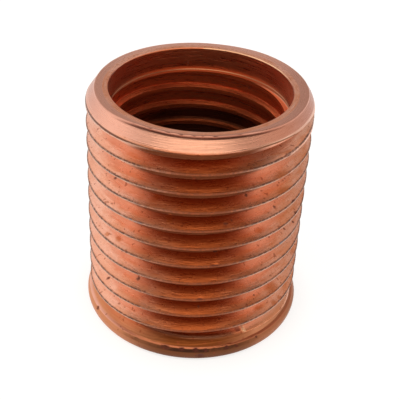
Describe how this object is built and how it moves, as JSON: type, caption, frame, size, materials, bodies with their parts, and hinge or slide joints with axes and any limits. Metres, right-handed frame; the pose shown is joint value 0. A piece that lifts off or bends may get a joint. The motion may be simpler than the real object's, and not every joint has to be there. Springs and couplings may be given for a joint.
{
  "type": "threaded insert",
  "caption": "Thin-walled flanged bushing with a fine outside thread, a shallow inside thread, a plain mouth and a chamfered lead end.",
  "frame": {"origin": "on the axis, at the under side of the flange, on which the insert stands", "axes": "+Z along the axis from the flange to the chamfered lead end, -Y the side that faces the camera in the picture, +X its right side"},
  "size_m": [0.0168, 0.0168, 0.0186],
  "materials": {
    "copper": "satin turned copper with faint tarnish in the thread roots"
  },
  "bodies": {
    "root": {"insert": "copper"}
  },
  "joints": []
}
